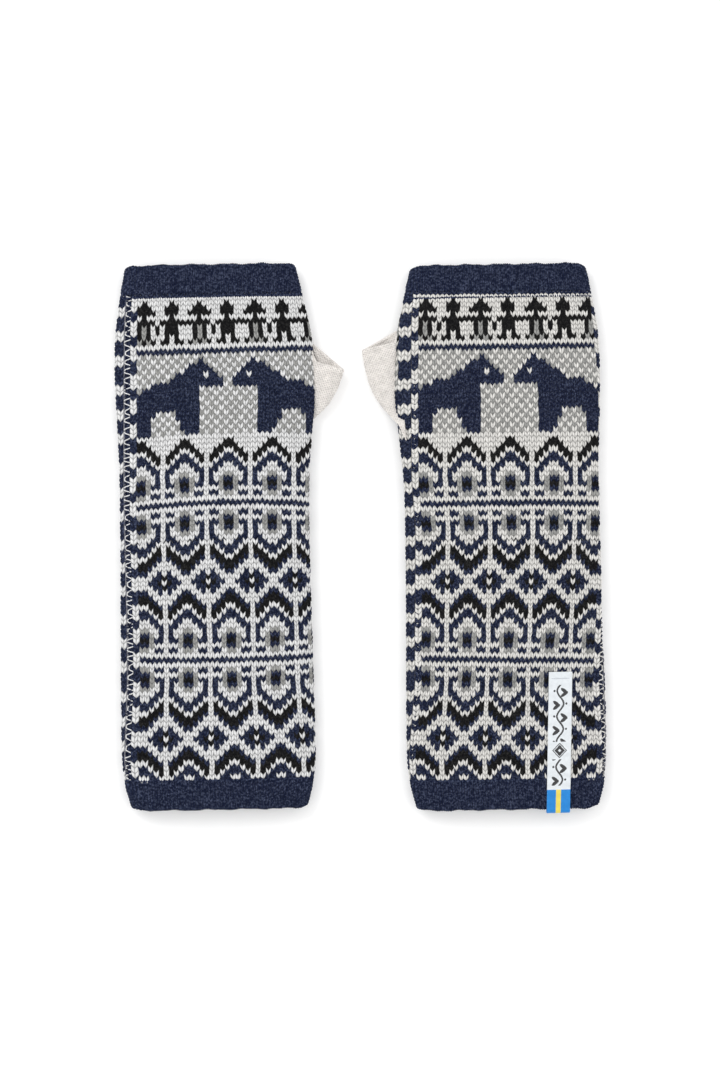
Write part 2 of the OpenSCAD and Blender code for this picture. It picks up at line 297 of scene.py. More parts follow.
def thumbPlace(side, t0, t1, thick):
    # rings fan out from the slit to the mouth: a lens whose ends run along the finger side and the
    # outer edge; its middle leaves the mitten's edge low, and the near wall's mouth is cut lower
    fold = side["foldX"]
    tip, inner = np.array(side["tip"]), np.array(side["inner"])
    g = np.linspace(0, 2 * math.pi, 1441)
    gx, gz = 15 * power(np.cos(g), 2 / 3), thumb["r"] * power(np.sin(g), 1 / 1.1)
    arc = np.concatenate([[0], np.cumsum(np.hypot(np.diff(gx), np.diff(gz)))])
    arc /= arc[-1]
    turnLength = 0.06

    def place(q, s, inset):
        turn = np.clip((s - 1) / turnLength, 0, 1) * math.pi
        out = np.minimum(s, 1) - np.maximum(s - 1 - turnLength, 0)
        t = t0 + (t1 - t0) * out
        deep = thick / 2 - (thick / 2 - inset) * np.cos(turn)
        forward = (thick / 2 - inset) * np.sin(turn)
        angle = np.interp(np.mod(q, 1), arc, g)
        ax, ay = inner[0] * t, slit["high"] - 0.5 + (inner[1] - slit["high"] + 0.5) * t
        swell = side["bulge"] * np.sin(math.pi * np.clip(t, 0, 1))
        bx = tip[0] * t + 0.9 * swell
        by = slit["low"] + 0.5 + (tip[1] - slit["low"] - 0.5) * t - 0.45 * swell
        length = np.hypot(bx - ax, by - ay)
        ux, uy = (bx - ax) / length, (by - ay) / length
        grow = np.clip((t + 0.1) / 0.45, 0, 1)
        r = thumb["rootR"] + (thumb["r"] - thumb["rootR"]) * grow * grow * (3 - 2 * grow)
        part = power(np.cos(angle), 2 / 3)
        along = part * (length / 2 - deep)
        x = (ax + bx) / 2 + ux * along - uy * forward
        y = (ay + by) / 2 + uy * along + ux * forward
        free = np.clip(t / 0.5, 0, 1)
        free = free * free * (3 - 2 * free)
        low = np.clip((slit["low"] + 9 - y) / 8, 0, 1)
        rootX, rootZ = side["root"][0] + 0 * y, side["root"][1] + (side["crossing"] - side["root"][1]) * low
        x = fold + x + (1 - free) * rootX
        z = rootZ + (tube["foldHeight"] - rootZ) * free
        near = np.clip((np.sin(angle) + 0.1) / 0.6, 0, 1)
        y = y - side["dip"] * near * (1 - part) / 2 * np.clip((t - 0.1) / 0.9, 0, 1)
        z = z + power(np.sin(angle), 1 / 1.1) * np.maximum(r - deep, 0.15)
        return x, y, z
    return place


def smoothRandom(seed, shape):
    # random values on a lattice of stitches, read between its points by straight lines
    values = np.random.default_rng(seed).uniform(-1, 1, shape)

    def read(q, r):
        fq, fr = np.mod(q, shape[1] - 1), np.clip(r, 0, shape[0] - 1.001)
        iq, ir = fq.astype(int), fr.astype(int)
        a, b = fr - ir, fq - iq
        return ((1 - a) * ((1 - b) * values[ir, iq] + b * values[ir, iq + 1])
                + a * ((1 - b) * values[ir + 1, iq] + b * values[ir + 1, iq + 1]))
    return read


def stitchGrid(cols, rows, perCol, perRow, lean, depth, seed, closed=False, flat=1.0):
    # each stitch is a V of two legs: rows zigzag, lower in the middle of a stitch by lean rows; a leg's
    # height is (1 - u^2)^0.4 across it times 1 - 0.9 v^2 along it, u and v running from -1 to 1
    iu, iv = np.meshgrid(np.arange(cols * perCol + 1), np.arange(rows * perRow + 1))
    q, r = iu / perCol, iv / perRow
    border = np.abs(2 * (q % 1) - 1)                # 1 between two columns, 0 in a column's middle
    along = 1 - 0.9 * np.abs(2 * border - 1) ** 2
    across = np.clip(1 - (2 * (r % 1) - 1) ** 2, 0, 1) ** 0.4
    wobble = [smoothRandom(seed + k, (rows + 4, cols + 1)) for k in range(3)]
    legs = smoothRandom(seed + 7, (rows + 4, 2 * cols + 1))(2 * q, r)
    fuzz = np.random.default_rng(seed + 9).uniform(-1, 1, q.shape)
    if closed:
        fuzz[:, -1] = fuzz[:, 0]
    height = depth * (1 - flat + flat * across) * along * (1 + 0.2 * wobble[0](q, r) + 0.25 * legs)
    height = np.clip(height + 0.06 * depth * fuzz, 0, 1.3 * depth)
    qq = q + 0.12 * wobble[1](q, r) * (1 if closed else np.clip(4 * np.minimum(q, cols - q), 0, 1))
    rr = r + lean * (1 - border) ** 1.2 + 0.16 * wobble[2](q, r) + 0.07 * legs
    return q, r, qq, rr, height, 1 - border


def raised(place, qq, rr, height, depth, outward, eps=0.02):
    # moves the surface's points out along its own normal
    base = place(qq, rr, depth + 0 * qq)
    dq = place(qq + eps, rr, depth + 0 * qq) - place(qq - eps, rr, depth + 0 * qq)
    dr = place(qq, rr + eps, depth + 0 * qq) - place(qq, rr - eps, depth + 0 * qq)
    normal = np.cross(dq, dr)
    normal *= outward / np.maximum(np.linalg.norm(normal, axis=-1, keepdims=True), 1e-12)
    return base + normal * (height * mm)[..., None]


def quads(index, flip):
    # faces of a grid of point numbers
    f = np.stack([index[:-1, :-1], index[:-1, 1:], index[1:, 1:], index[1:, :-1]], -1).reshape(-1, 4)
    return f[:, ::-1] if flip else f


def makeMesh(name, points, faces, slots, materials, uv=None, loose=(), shadeRise=None):
    # faces is an array of quads, and loose a list of (corner list, slot) for other polygons
    corners = [faces.reshape(-1)] + [np.array(c) for c, _ in loose]
    totals = np.concatenate([np.full(len(faces), 4), [len(c) for c, _ in loose]]).astype(np.int32)
    mesh = bpy.data.meshes.new(name)
    mesh.vertices.add(len(points))
    mesh.vertices.foreach_set("co", points.reshape(-1).astype(np.float32))
    flat = np.concatenate(corners).astype(np.int32)
    mesh.loops.add(len(flat))
    mesh.loops.foreach_set("vertex_index", flat)
    mesh.polygons.add(len(totals))
    mesh.polygons.foreach_set("loop_start", np.concatenate([[0], np.cumsum(totals)[:-1]]).astype(np.int32))
    mesh.polygons.foreach_set("loop_total", totals)
    for material in materials:
        mesh.materials.append(material)
    index = np.concatenate([slots, [s for _, s in loose]]).astype(np.int32)
    mesh.polygons.foreach_set("material_index", index)
    mesh.polygons.foreach_set("use_smooth", np.ones(len(totals), bool))
    if uv is not None:
        layer = mesh.uv_layers.new(name="stitches")
        layer.data.foreach_set("uv", uv[flat].reshape(-1).astype(np.float32))
    # the point attribute read by the yarn material to paint shade where it is low
    if shadeRise is not None:
        mesh.attributes.new("shadeRise", "FLOAT", "POINT").data.foreach_set("value", shadeRise.astype(np.float32))
    mesh.update(calc_edges=True)
    mesh.validate()
    obj = bpy.data.objects.new(name, mesh)
    bpy.context.scene.collection.objects.link(obj)
    return obj


def knitPanel(name, side, q0, chartRows, first, last, perCol, perRow, look, materials, seed):
    # an open panel: stitches outside, a plainer reverse inside, and rims round all four edges
    cols, rows = len(chartRows[0]), last - first
    q, r, qq, rr, height, fold = stitchGrid(cols, rows, perCol, perRow, look["lean"], look["depth"], seed)
    place = panelPlace(side)
    outward = side["sign"]
    outer = raised(place, qq + q0, rr + first, height, look["depth"], outward)
    step = 2 * perRow
    inner = place((qq + q0)[::step], (rr + first)[::step], tube["wall"] + 0 * qq[::step])
    nv, nu = q.shape
    ni = inner.shape[0]
    outerIndex = np.arange(nv * nu).reshape(nv, nu)
    innerIndex = nv * nu + np.arange(ni * nu).reshape(ni, nu)
    flip = outward < 0
    shell = quads(outerIndex, flip)
    stitchRow = np.clip((np.arange(nv - 1) // perRow) + first, -1, len(chartRows))
    stitchCol = np.arange(nu - 1) // perCol
    letters = np.array([[yarns.index(c) for c in ("N" * cols if k < 0 or k >= len(chartRows)
                                                   else chartRows[k])]
                        for k in range(-1, len(chartRows) + 1)])
    slots = letters[(stitchRow + 1)[:, None], stitchCol[None, :]].reshape(-1)
    lining = quads(innerIndex, not flip)
    rims = np.concatenate([
        quads(np.stack([outerIndex[0], innerIndex[0]]), not flip),
        quads(np.stack([outerIndex[-1], innerIndex[-1]]), flip)])
    loose = []
    for column, back in ((0, flip), (nu - 1, not flip)):
        for k in range(ni - 1):
            ring = list(outerIndex[k * step:(k + 1) * step + 1, column])
            ring += [innerIndex[k + 1, column], innerIndex[k, column]]
            loose.append((ring[::-1] if back else ring, 4))
    faces = np.concatenate([shell, lining, rims])
    slots = np.concatenate([slots, np.full(len(lining) + len(rims), 4)])
    uv = np.concatenate([np.stack([fold, r], -1).reshape(-1, 2),
                         np.stack([q[::step], r[::step]], -1).reshape(-1, 2)])
    points = np.concatenate([outer.reshape(-1, 3), inner.reshape(-1, 3)])
    # the stitch height as a fraction, which the yarn material turns into painted shade in the valleys; the
    # lining gets none
    shadeRise = np.concatenate([(height / look["depth"]).reshape(-1), np.ones(inner.shape[0] * nu)])
    return makeMesh(name, points, faces, slots, materials, uv, loose, shadeRise)


def knitRing(name, side, place, cols, rows, qScale, rScale, perCol, perRow, look, materials, seed,
             outward):
    # a closed tube of stitches that folds over at its mouth and meets itself at its start
    _, r, qq, rr, height, folded = stitchGrid(cols, rows, perCol, perRow, look["lean"], look["depth"],
                                              seed, True, look["flat"])
    fade = np.clip(np.minimum(r, rows - r) * 2, 0, 1)
    rr = r + (rr - r) * fade
    outward = outward * side["sign"]
    points = raised(lambda a, b, c: place(a * qScale, b * rScale, c), qq, rr, height * fade,
                    look["depth"], outward)
    points, r = points[:, :-1], r[:, :-1]
    nv, nu = r.shape
    index = np.arange(nv * nu).reshape(nv, nu)
    index = np.concatenate([index, index[:, :1]], 1)
    faces = quads(np.concatenate([index, index[:1]], 0), outward < 0)
    uv = np.stack([folded[:, :-1], r], -1).reshape(-1, 2)
    # the stitch height as a fraction, which the yarn material turns into painted shade in the valleys
    shadeRise = (height / look["depth"])[:, :-1].reshape(-1)
    return makeMesh(name, points.reshape(-1, 3), faces, np.zeros(len(faces)), materials, uv, (), shadeRise)


def knitThumb(name, side, place, total, around, along, materials, outward):
    # ribs and rows are straight in the mitten's plane: the V's height is read at each point of a grid
    q, s = np.meshgrid(np.arange(around + 1) / around, np.linspace(0, total, along + 1))
    world = lambda a, b, c: toWorld(side, *place(a, b, c))
    x, y, _ = place(q, s, thumb["depth"] + 0 * q)
    way = np.array(side["tip"]) - (0, slit["low"])
    way /= np.linalg.norm(way)
    column = (x * way[1] - y * way[0]) / thumb["fineStitch"]
    row = (x * way[0] + y * way[1]) / thumb["fineRow"]
    border = np.abs(2 * (column % 1) - 1)
    row = row + 0.6 * (1 - border)
    valley = 1 - 0.8 * np.abs(2 * border - 1) ** 2
    height = thumb["depth"] * np.sqrt(np.clip(1 - (2 * (row % 1) - 1) ** 2, 0, 1)) * valley
    outward = outward * side["sign"]
    points = raised(world, q, s, height, thumb["depth"], outward, 0.004)[:, :-1]
    nv, nu = points.shape[:2]
    index = np.arange(nv * nu).reshape(nv, nu)
    index = np.concatenate([index, index[:, :1]], 1)
    faces = quads(np.concatenate([index, index[:1]], 0), outward < 0)
    uv = np.stack([1 - border, row], -1)[:, :-1].reshape(-1, 2)
    # painted shade: small dark dots at the hollows where two columns and two rows meet
    hole = (2 * (row % 1) - 1) ** 2 * (0.15 + 0.85 * (2 * border - 1) ** 2)
    holeShade = 1 - 0.9 * np.sqrt(hole[:, :-1].reshape(-1))
    return makeMesh(name, points.reshape(-1, 3), faces, np.zeros(len(faces)), materials, uv, (), holeShade)


def yarnTube(path, normal, radius, around=6, closed=False):
    # sweeps a circle along a path, framed by the surface's normal; gives points, faces and end caps
    tangent = np.gradient(path, axis=0)
    if closed:
        tangent = np.roll(path, -1, 0) - np.roll(path, 1, 0)
    tangent /= np.linalg.norm(tangent, axis=1, keepdims=True)
    binormal = np.cross(tangent, normal)
    binormal /= np.linalg.norm(binormal, axis=1, keepdims=True)
    up = np.cross(binormal, tangent)
    g = np.arange(around) / around * 2 * math.pi
    radius = np.broadcast_to(radius, (len(path),))[:, None, None]
    points = (path[:, None] + radius * (np.cos(g)[None, :, None] * binormal[:, None]
                                        + np.sin(g)[None, :, None] * up[:, None]))
    index = np.arange(len(path) * around).reshape(len(path), around)
    index = np.concatenate([index, index[:, :1]], 1)
    if closed:
        index = np.concatenate([index, index[:1]], 0)
    faces = quads(index, True)
    caps = [] if closed else [list(range(around))[::-1],
                              list(range((len(path) - 1) * around, len(path) * around))]
    return points.reshape(-1, 3), faces, caps


def joined(name, parts, materials):
    # joins (points, faces, caps, slot) parts in one mesh
    points, faces, slots, loose, base = [], [], [], [], 0
    for p, f, caps, slot in parts:
        points.append(p)
        faces.append(f + base)
        slots.append(np.full(len(f), slot))
        loose += [([c + base for c in cap], slot) for cap in caps]
        base += len(p)
    points = np.concatenate(points)
    return makeMesh(name, points, np.concatenate(faces), np.concatenate(slots), materials,
                    points[:, :2] / mm, loose, np.ones(len(points)))

def srgb(r, g, b):
    c = np.array([r, g, b]) / 255
    return (*np.where(c <= 0.04045, c / 12.92, ((c + 0.055) / 1.055) ** 2.4), 1.0)


def node(tree, kind, **settings):
    n = tree.nodes.new("ShaderNode" + kind)
    for key, value in settings.items():
        if hasattr(n, key):
            setattr(n, key, value)
        else:
            n.inputs[key].default_value = value
    return n


def mixColour(tree, kind, factor, a, b):
    n = node(tree, "Mix", data_type="RGBA", blend_type=kind)
    for socket, value in ((0, factor), (6, a), (7, b)):
        if hasattr(value, "links"):
            tree.links.new(value, n.inputs[socket])
        else:
            n.inputs[socket].default_value = value
    return n.outputs[2]


def math2(tree, kind, a, b=0.0, clamp=False):
    n = node(tree, "Math", operation=kind, use_clamp=clamp)
    for socket, value in ((0, a), (1, b)):
        if hasattr(value, "links"):
            tree.links.new(value, n.inputs[socket])
        else:
            n.inputs[socket].default_value = value
    return n.outputs[0]


def yarnGroup():
    # colour = yarn mixed with loose fibres where fine noise is high, with painted shade darkening the
    # valleys;
    # height = fine fibres plus the twist of the plies
    tree = bpy.data.node_groups.new("yarnLook", "ShaderNodeTree")
    face = tree.interface
    for name, kind in (("Colour", "NodeSocketColor"), ("Fibre", "NodeSocketColor"),
                       ("Fibre Amount", "NodeSocketFloat"), ("Valley Shade", "NodeSocketFloat")):
        face.new_socket(name, in_out="INPUT", socket_type=kind)
    for name, kind in (("Base Color", "NodeSocketColor"), ("Bump Height", "NodeSocketFloat")):
        face.new_socket(name, in_out="OUTPUT", socket_type=kind)
    given, out = tree.nodes.new("NodeGroupInput"), tree.nodes.new("NodeGroupOutput")
    place = node(tree, "TexCoord")
    flecks = node(tree, "TexNoise", Scale=950.0, Detail=3.0, Roughness=0.7)
    patches = node(tree, "TexNoise", Scale=330.0, Detail=2.0)
    fibres = node(tree, "TexNoise", Scale=3800.0, Detail=2.0)
    for n in (flecks, patches, fibres):
        tree.links.new(place.outputs["Object"], n.inputs["Vector"])
    fleck = math2(tree, "MULTIPLY", math2(tree, "SUBTRACT", flecks.outputs["Fac"], 0.46), 4.5, True)
    fleck = math2(tree, "MULTIPLY", fleck, given.outputs["Fibre Amount"])
    colour = mixColour(tree, "MIX", fleck, given.outputs["Colour"], given.outputs["Fibre"])
    shade = math2(tree, "ADD", math2(tree, "MULTIPLY", patches.outputs["Fac"], 0.45), 0.775)
    grey = node(tree, "CombineColor")
    for k in range(3):
        tree.links.new(shade, grey.inputs[k])
    colour = mixColour(tree, "MULTIPLY", 1.0, colour, grey.outputs[0])
    # painted shade: where the stitch height attribute is low, between stitches, the colour is mixed towards
    # near black, more so for a larger valley amount
    shadeRise = node(tree, "Attribute", attribute_name="shadeRise")
    low = math2(tree, "SUBTRACT", 1.0, shadeRise.outputs["Fac"])
    low = math2(tree, "MULTIPLY", math2(tree, "POWER", low, 2.2), given.outputs["Valley Shade"])
    colour = mixColour(tree, "MIX", low, colour, (0.012, 0.012, 0.014, 1))
    tree.links.new(colour, out.inputs["Base Color"])
    uv = node(tree, "UVMap")
    split = node(tree, "SeparateXYZ")
    tree.links.new(uv.outputs[0], split.inputs[0])
    twist = math2(tree, "ADD", math2(tree, "MULTIPLY", split.outputs[1], 14.0),
                  math2(tree, "MULTIPLY", split.outputs[0], 9.0))
    twist = math2(tree, "MULTIPLY", math2(tree, "SINE", twist), 0.18)
    tree.links.new(math2(tree, "ADD", twist, fibres.outputs["Fac"]), out.inputs["Bump Height"])
    return tree


yarnLook = yarnGroup()


def yarn(name, colour, fibre, amount, valley, sheen=0.12):
    material = bpy.data.materials.new(name)
    material.use_nodes = True
    tree = material.node_tree
    shader = tree.nodes["Principled BSDF"]
    shader.inputs["Roughness"].default_value = 0.95
    shader.inputs["Specular IOR Level"].default_value = 0.06
    shader.inputs["Sheen Weight"].default_value = sheen
    shader.inputs["Sheen Roughness"].default_value = 0.6
    group = tree.nodes.new("ShaderNodeGroup")
    group.node_tree = yarnLook
    for key, value in (("Colour", colour), ("Fibre", fibre), ("Fibre Amount", amount), ("Valley Shade", valley)):
        group.inputs[key].default_value = value
    bump = node(tree, "Bump", Strength=0.6, Distance=0.0003)
    tree.links.new(group.outputs["Base Color"], shader.inputs["Base Color"])
    tree.links.new(group.outputs["Bump Height"], bump.inputs["Height"])
    tree.links.new(bump.outputs[0], shader.inputs["Normal"])
    return material


# the fourth number of each yarn is how strongly painted shade darkens the valleys between its stitches
wool = dict(
    navy=yarn("navyYarn", srgb(21, 28, 51), srgb(101, 110, 137), 0.58, 0.5, 0.0),
    black=yarn("blackYarn", srgb(19, 19, 20), srgb(80, 79, 77), 0.38, 0.5, 0.0),
    grey=yarn("greyYarn", srgb(148, 148, 146), srgb(196, 195, 191), 0.6, 0.5),
    whiteLeft=yarn("whiteYarn", srgb(233, 233, 233), srgb(192, 192, 193), 0.45, 0.68),
    whiteRight=yarn("oatYarn", srgb(231, 229, 225), srgb(188, 186, 182), 0.45, 0.68),
    cream=yarn("creamYarn", srgb(240, 235, 230), srgb(196, 189, 182), 0.4, 0.95),
    lining=yarn("floatYarn", srgb(138, 138, 143), srgb(34, 39, 72), 0.9, 0.0),
)
print("yarns ready")

stitch = dict(lean=0.66, depth=0.6)
plainStitch = dict(lean=0.66, depth=0.55)
hemStitch = dict(lean=0.6, depth=0.6, rowHeight=1.75, columns=84, flat=0.5)
cord = dict(radius=0.62, inset=0.75)
ladder = dict(strand=0.3, reach=0.58, inset=0.75, base=1.5)


def belongs(obj, body, slotName, *nodes):
    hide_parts(*nodes)
    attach(obj, body)


def linkingRing(name, side, y):
    # a twisted cord laid round the section, with a bump at each stitch
    around, across = knit["columns"] * 5, 8
    q = np.arange(around) / around * knit["columns"]
    x, z = skin(side, sample(side, q, y + 0 * q), y + 0 * q, cord["inset"])
    wave = 0.12 * np.sin(q * 2 * math.pi)
    path = toWorld(side, x, y + wave, z)
    x2, z2 = skin(side, sample(side, q, y + 0 * q), y + 0 * q, 0.0)
    normal = toWorld(side, x2, y + wave, z2) - path
    normal /= np.linalg.norm(normal, axis=1, keepdims=True)
    radius = cord["radius"] * mm * (1 + 0.18 * np.sin(2 * math.pi * q * 2))
    points, faces, caps = yarnTube(path, normal, radius, across, closed=True)
    return joined(name, [(points, faces, caps, 0)], [wool["navy"]])


def sideSeam(name, side, q0, rTop, rLow, seed):
    # a dark strip under the two edges, crossed by a white and a navy strand in turn
    place = panelPlace(side)
    rows = np.linspace(rTop, rLow, max(3, int((rLow - rTop) / 2)))
    half = ladder["reach"]
    ring = [(-half, ladder["base"]), (0, ladder["base"] - 0.2), (half, ladder["base"]),
            (half, tube["wall"]), (0, tube["wall"]), (-half, tube["wall"])]
    grid = np.stack([place(q0 + a + 0 * rows, rows, b + 0 * rows) for a, b in ring], 1)
    n = len(ring)
    index = np.arange(len(rows) * n).reshape(len(rows), n)
    index = np.concatenate([index, index[:, :1]], 1)
    flip = side["sign"] < 0
    caps = [list(range(n)), list(range((len(rows) - 1) * n, len(rows) * n))[::-1]]
    if not flip:
        caps = [c[::-1] for c in caps]
    parts = [(grid.reshape(-1, 3), quads(index, flip), caps, 1)]
    for k, phase in ((0, 0.0), (1, 0.5)):
        s = np.arange(int((rLow - rTop - 1) * 8)) / 8 + 0.5
        swing = np.sin(2 * math.pi * (s * 0.5 + phase * 0.5 + 0.25 * k))
        swing = np.sign(swing) * np.abs(swing) ** 0.8
        loose = smoothRandom(seed + k, (len(s) + 2, 4))
        q = q0 + half * swing * (1 + 0.6 * loose(0.5 + 0 * s, s / 2))
        r = rTop + s + 0.5 * loose(1.5 + 0 * s, s / 3)
        lift = ladder["inset"] + 0.5 * np.abs(swing) ** 3 + 0.25 * loose(2.5 + 0 * s, s / 2)
        path = place(q, r, lift)
        normal = place(q, r, lift - 1.0) - path
        normal /= np.linalg.norm(normal, axis=1, keepdims=True)
        points, faces, ends = yarnTube(path, normal, ladder["strand"] * mm, 6)
        parts.append((points, faces, ends, k))
    return joined(name, parts, [wool["white" + side["name"].title()], wool["navy"]])


for number, (name, side) in enumerate(sides.items()):
    mitten = name + "_mitten"
    front = [row[::-side["sign"]] for row in frontChart]
    white = wool["white" + name.title()]
    patternYarns = [wool["navy"], wool["black"], wool["grey"], white, wool["lining"]]
    for part, first, last in (("upper", -1, 51), ("lower", 51, 101)):
        panel = knitPanel(f"{name}FrontPanel_{part}", side, 0.5, front, first, last, 8, 4, stitch,
                          patternYarns, 11 + number)
        belongs(panel, mitten, "pattern_wool", name + "_front_panel")
    panel = knitPanel(name + "BackPanel", side, 41.5, backChart, -1, 101, 6, 3, plainStitch,
                      patternYarns, 21 + number)
    belongs(panel, mitten, "pattern_wool", name + "_back_panel")
    for end, start, stop in (("finger", bodyTop + hems["linking"], tube["halfLength"]),
                             ("wrist", bodyLow - hems["linking"], -tube["halfLength"])):
        way = 1 if stop > start else -1
        place, total = hemPlace(side, start, stop - way * tube["wall"] / 2, hemStitch["columns"])
        rows = int(round(total / hemStitch["rowHeight"] / 2)) * 2
        hem = knitRing(f"{name}{end.title()}Hem", side, place, hemStitch["columns"], rows, 1.0,
                       total / rows, 6, 3, hemStitch, [wool["navy"]], 31 + number, -way)
        belongs(hem, mitten, "navy_wool", f"{name}_{end}_hem")
        ring = linkingRing(f"{name}{end.title()}Linking", side,
                           start - way * hems["linking"] / 2)
        belongs(ring, mitten, "navy_wool", f"{name}_{end}_linking")
    rowOf = lambda y: float(np.interp(-y, -rowEdge, np.arange(-1, len(rowEdge) - 1)))
    top, low = rowOf(slit["high"]), rowOf(slit["low"])
    for part, nodeName, q0, start, stop, seed in (("OuterSeam", "_outer_seam", 41.0, -0.9, 100.9, 51),
                                                  ("InnerSeamLow", "_inner_seam_low", 0.0, low, 100.9, 52),
                                                  ("InnerSeamHigh", "_inner_seam_high", 0.0, -0.9, top, 53),
                                                  ("ThumbLinking", "_thumb_linking", 0.0, top, low, 54)):
        seam = sideSeam(name + part, side, q0, start, stop, seed)
        belongs(seam, mitten, "seam_wool", name + nodeName)
    tip = np.array(side["tip"])
    hemStart = 1 - thumb["hem"] / float(np.hypot(tip[0], tip[1] - slit["low"]))
    for part, nodeName, t0, t1, thick, along in (
            ("ThumbTube", "_thumb_tube", thumb["rootStart"], hemStart, thumb["wall"], thumb["along"]),
            ("ThumbHem", "_thumb_hem", hemStart + thumb["hemGap"], 1.0, thumb["hemThick"],
             thumb["hemAlong"])):
        obj = knitThumb(name + part, side, thumbPlace(side, t0, t1, thick), thumb["total"],
                        thumb["around"], 2 * along, [wool["cream"]], -1)
        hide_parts(name + nodeName)
        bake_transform(obj)
    print(name, "mitten knitted")

label = dict(width=11.6, length=68, fold=8, thick=0.35, x=24.6, lean=1.9, lift=0.3, cell=0.2,
             blue=10, stripe=(4.5, 6.9), ripple=0.12)
vine = dict(start=6.5, end=56, centre=5.9, middle=(34.5, 43), pitch=12.5, swing=1.6, stroke=0.42,
            leaf=(2.1, 0.85), leafTurn=0.9, leafShift=1.6, leafOut=1.9, berryOut=3.0, berryArea=0.3,
            lozenge=(3.6, 3.9), lozengeRing=(0.72, 0.84), lozengeHole=0.22)
right = sides["right"]


def roof(side, x, y, inset):
    # height of the outer skin over a point: mid + h * (1 - u^3)^(1/2.2)
    yy = np.clip(y, -tube["halfLength"], tube["halfLength"])
    h = tube["lieHeight"] - tube["foldHeight"] - tube["edgeDrop"] * np.abs(yy / tube["halfLength"])**4 - inset
    shift = tube["palmShift"] * np.exp(-((yy - tube["palmAt"]) / tube["palmSpread"]) ** 2)
    u = np.clip(np.abs(x - shift) / (flatWidth(yy) * side["ease"] / 2 - inset), 0, 1)
    return tube["foldHeight"] + h * (1 - u**tube["squareX"]) ** (1 / tube["squareZ"])


def labelPlace(across, v, out):
    # v runs down the top, in a half circle round the hem's edge, and back up inside
    turnR = tube["wall"] / 2 + label["lift"]
    turn = np.clip((v - label["length"]) / turnR, 0, math.pi)
    back = np.maximum(v - label["length"] - math.pi * turnR, 0)
    y = -tube["halfLength"] + np.maximum(label["length"] - v, 0) + back - (turnR + out) * np.sin(turn)
    lean = math.tan(math.radians(label["lean"]))
    x = -label["x"] - (y + tube["halfLength"]) * lean + across
    top, low = roof(right, x, y, 0.0), roof(right, x, y, tube["wall"])
    z = (top + low) / 2 + ((top - low) / 2 + label["lift"] + out) * np.cos(turn)
    ripple = label["ripple"] * (np.sin(v * 0.55 + 0.4 * across) + np.sin(v * 1.27 + 1.3)) * (turn == 0)
    return toWorld(right, x, y, z + ripple * np.clip(v / 6, 0, 1))


def labelPattern(al, v):
    # 0 satin, 1 dark ornament, 2 blue end, 3 yellow stripe; a wavy stem with leaves and one lozenge
    phase = 2 * math.pi * v / vine["pitch"]
    centre = vine["centre"] + vine["swing"] * np.sin(phase)
    slope = vine["swing"] * 2 * math.pi / vine["pitch"] * np.cos(phase)
    shown = (v > vine["start"]) & (v < vine["end"]) & ((v < vine["middle"][0]) | (v > vine["middle"][1]))
    dark = np.abs(al - centre) < vine["stroke"] * np.sqrt(1 + slope**2)
    for k in range(-1, 9):
        at = (k + 0.5) * vine["pitch"] / 2
        way = 1 if k % 2 else -1
        for lean, shift in ((vine["leafTurn"], 0.0), (-vine["leafTurn"], vine["leafShift"])):
            a, b = al - (vine["centre"] + way * vine["leafOut"]), v - at - shift
            along, beside = a * math.sin(lean) + b * math.cos(lean), a * math.cos(lean) - b * math.sin(lean)
            dark |= (along / vine["leaf"][0]) ** 2 + (beside / vine["leaf"][1]) ** 2 < 1
        dark |= (al - vine["centre"] + way * vine["berryOut"]) ** 2 + (v - at) ** 2 < vine["berryArea"]
    mid = sum(vine["middle"]) / 2
    lozenge = np.abs(al - vine["centre"]) / vine["lozenge"][0] + np.abs(v - mid) / vine["lozenge"][1]
    ring = (lozenge < vine["lozengeRing"][0]) | (lozenge > vine["lozengeRing"][1])
    dark = (dark & shown) | ((lozenge < 1) & ring & (lozenge > vine["lozengeHole"]))
    kind = np.where(dark, 1, 0)
    kind = np.where(v > label["length"] - label["blue"], 2, kind)
    return np.where((kind == 2) & (al > label["stripe"][0]) & (al < label["stripe"][1]), 3, kind)


def satin(name, colour, rough):
    # fine crossing threads as bump, with a slight sheen
    material = bpy.data.materials.new(name)
    material.use_nodes = True
    tree = material.node_tree
    shader = tree.nodes["Principled BSDF"]
    shader.inputs["Roughness"].default_value = rough
    shader.inputs["Sheen Weight"].default_value = 0.15
    shader.inputs["Specular IOR Level"].default_value = 0.35
    uv = node(tree, "UVMap")
    waves = []
    for direction, scale in (("X", 5.5), ("Y", 7.5)):
        wave = node(tree, "TexWave", bands_direction=direction, Scale=scale, Distortion=0.4)
        tree.links.new(uv.outputs[0], wave.inputs["Vector"])
        waves.append(wave.outputs["Fac"])
    weave = math2(tree, "ADD", waves[0], waves[1])
    soft = node(tree, "TexNoise", Scale=0.5, Detail=2.0)
    tree.links.new(uv.outputs[0], soft.inputs["Vector"])
    tone = math2(tree, "ADD", math2(tree, "MULTIPLY", soft.outputs["Fac"], 0.25),
                 math2(tree, "MULTIPLY", weave, 0.06))
    tone = math2(tree, "ADD", tone, 0.8)
    grey = node(tree, "CombineColor")
    for k in range(3):
        tree.links.new(tone, grey.inputs[k])
    tree.links.new(mixColour(tree, "MULTIPLY", 1.0, colour, grey.outputs[0]), shader.inputs["Base Color"])
    bump = node(tree, "Bump", Strength=0.25, Distance=0.0001)
    tree.links.new(weave, bump.inputs["Height"])
    tree.links.new(bump.outputs[0], shader.inputs["Normal"])
    return material


labelCloth = [satin("labelSatin", srgb(225, 230, 234), 0.42), satin("labelOrnament", srgb(58, 58, 60), 0.6),
              satin("labelBlue", srgb(22, 132, 212), 0.45), satin("labelYellow", srgb(236, 214, 92), 0.45)]


